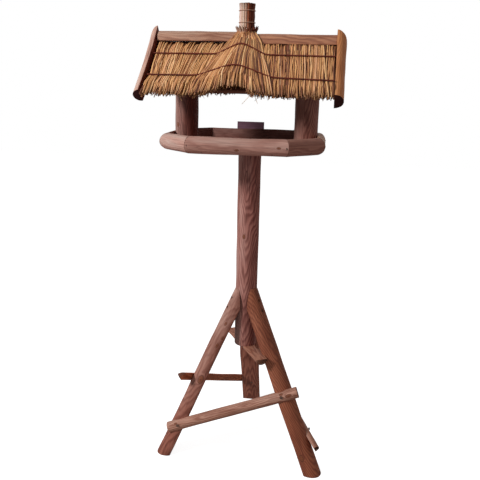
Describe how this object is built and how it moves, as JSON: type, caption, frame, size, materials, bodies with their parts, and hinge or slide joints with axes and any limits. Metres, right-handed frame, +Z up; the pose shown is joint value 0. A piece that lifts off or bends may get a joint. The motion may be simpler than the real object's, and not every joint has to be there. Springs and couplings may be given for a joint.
{
  "type": "bird table",
  "caption": "Rustic wooden bird table with a thatched roof on a post with splayed, braced half-round legs.",
  "frame": {"origin": "on the ground under the middle of the whole table's outline", "axes": "+Z up; -Y towards the front, the long side that is seen first; +X to the right along the ridge"},
  "size_m": [0.5488, 0.4734, 1.337],
  "materials": {
    "stained_logs": "reddish brown stain, weathered, fine grain, knots and drying cracks",
    "weathered_rails": "worn greyish pink brown stain, coarse grain and dark knots",
    "boards": "brown stained sawn board",
    "reed": "dry golden reed, dull to slightly glossy stems, dark cut ends",
    "rods": "dark maroon brown split rod",
    "dark_plate": "dull dark brown with a violet cast",
    "zinc_plated_steel": "dulled zinc plating with slight rust"
  },
  "bodies": {
    "root": {"post": "stained_logs", "leg_back": "stained_logs", "leg_left": "stained_logs", "leg_right": "stained_logs", "post_rest": "stained_logs", "house_post_left": "stained_logs", "house_post_right": "stained_logs", "verge_front_left": "stained_logs", "verge_front_right": "stained_logs", "verge_back_left": "stained_logs", "verge_back_right": "stained_logs", "ridge_cap_left": "stained_logs", "ridge_cap_right": "stained_logs", "brace_front": "weathered_rails", "brace_right": "weathered_rails", "brace_left": "weathered_rails", "rail_front": "weathered_rails", "rail_front_left": "weathered_rails", "rail_front_right": "weathered_rails", "rail_end_left": "weathered_rails", "rail_end_right": "weathered_rails", "rail_back_left": "weathered_rails", "rail_back_right": "weathered_rails", "rail_back": "weathered_rails", "tray_floor": "boards", "roof_board_front": "boards", "roof_board_back": "boards", "thatch_front": "reed", "thatch_back": "reed", "thatch_fan_front": "reed", "thatch_fan_back": "reed", "chimney_bundle": "reed", "chimney_collar": "reed", "sway_front_upper": "rods", "sway_front_lower": "rods", "sway_back_upper": "rods", "sway_back_lower": "rods", "rear_plate": "dark_plate", "leg_screws": "zinc_plated_steel", "brace_screws": "zinc_plated_steel", "post_rest_screws": "zinc_plated_steel", "tray_floor_screws": "zinc_plated_steel", "rear_plate_screws": "zinc_plated_steel", "house_post_screws": "zinc_plated_steel", "roof_board_screws": "zinc_plated_steel", "verge_screws": "zinc_plated_steel", "ridge_cap_screws": "zinc_plated_steel", "rail_nails": "zinc_plated_steel", "tray_corner_nails": "zinc_plated_steel", "sway_staples": "zinc_plated_steel", "chimney_ties": "zinc_plated_steel"}
  },
  "joints": []
}
